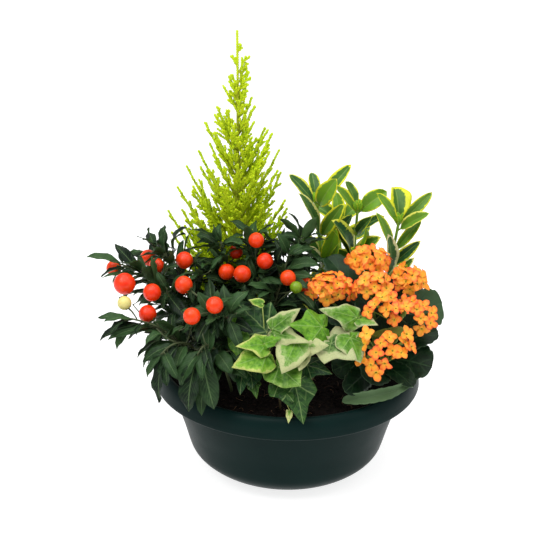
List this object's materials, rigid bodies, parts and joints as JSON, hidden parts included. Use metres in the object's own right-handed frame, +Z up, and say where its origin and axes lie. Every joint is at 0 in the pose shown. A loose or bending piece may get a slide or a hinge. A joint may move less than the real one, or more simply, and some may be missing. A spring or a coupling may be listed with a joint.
{
  "type": "mixed plant bowl",
  "caption": "Low round planter with a rolled lip, planted with a small cypress, winter cherry with berries, variegated ivy and euonymus, and an orange kalanchoe.",
  "frame": {"origin": "centre of the bowl's underside, on the surface it stands on", "axes": "+Z up, -Y towards the front of the planting, +X to its right seen from the front"},
  "size_m": [0.353, 0.2933, 0.447],
  "materials": {
    "bowl_plastic": "moulded dark green plastic, satin",
    "soil": "damp dark potting compost with brown fibres",
    "cypress_bark": "thin orange-brown bark",
    "cypress_foliage": "lime yellow scale foliage",
    "cherry_leaf": "dark green leaf, soft sheen",
    "berry_red": "glossy orange-red berry",
    "berry_pale": "glossy pale yellow berry",
    "berry_green": "glossy green berry",
    "ivy_leaf": "green leaf with cream margin",
    "euonymus_leaf": "glossy green leaf with yellow margin",
    "kalanchoe_leaf": "thick dark green leaf with scalloped edge",
    "kalanchoe_flower": "orange four-petalled flowers"
  },
  "bodies": {
    "root": {"bowl": "bowl_plastic", "bowl_lip": "bowl_plastic", "cherry_back_left": "cherry_leaf", "cherry_berry_01": "berry_red", "cherry_berry_02": "berry_red", "cherry_berry_03": "berry_red", "cherry_berry_04": "berry_red", "cherry_berry_05": "berry_pale", "cherry_berry_06": "berry_red", "cherry_berry_07": "berry_red", "cherry_berry_08": "berry_red", "cherry_berry_09": "berry_red", "cherry_berry_10": "berry_red", "cherry_berry_11": "berry_red", "cherry_berry_12": "berry_red", "cherry_berry_13": "berry_red", "cherry_berry_14": "berry_red", "cherry_berry_15": "berry_red", "cherry_berry_16": "berry_red", "cherry_berry_17": "berry_red", "cherry_berry_18": "berry_green", "cherry_berry_19": "berry_red", "cherry_droop_front": "cherry_leaf", "cherry_droop_left": "cherry_leaf", "cherry_far_left": "cherry_leaf", "cherry_front": "cherry_leaf", "cherry_low_left": "cherry_leaf", "cherry_right": "cherry_leaf", "cherry_right_back": "cherry_leaf", "cherry_upper_left": "cherry_leaf", "cherry_upper_mid": "cherry_leaf", "cherry_upper_right": "cherry_leaf", "cypress_bough_1": "cypress_foliage", "cypress_bough_2": "cypress_foliage", "cypress_bough_3": "cypress_foliage", "cypress_bough_4": "cypress_foliage", "cypress_bough_5": "cypress_foliage", "cypress_bough_6": "cypress_foliage", "cypress_bough_7": "cypress_foliage", "cypress_bough_8": "cypress_foliage", "cypress_bough_9": "cypress_foliage", "cypress_leader": "cypress_bark", "euonymus_back": "euonymus_leaf", "euonymus_left": "euonymus_leaf", "euonymus_middle": "euonymus_leaf", "euonymus_right": "euonymus_leaf", "ivy_left": "ivy_leaf", "ivy_low": "ivy_leaf", "ivy_middle": "ivy_leaf", "ivy_right": "ivy_leaf", "kalanchoe_head_1": "kalanchoe_flower", "kalanchoe_head_2": "kalanchoe_flower", "kalanchoe_head_3": "kalanchoe_flower", "kalanchoe_head_4": "kalanchoe_flower", "kalanchoe_head_5": "kalanchoe_flower", "kalanchoe_head_6": "kalanchoe_flower", "kalanchoe_head_7": "kalanchoe_flower", "kalanchoe_plant": "kalanchoe_leaf", "soil": "soil"}
  },
  "joints": []
}
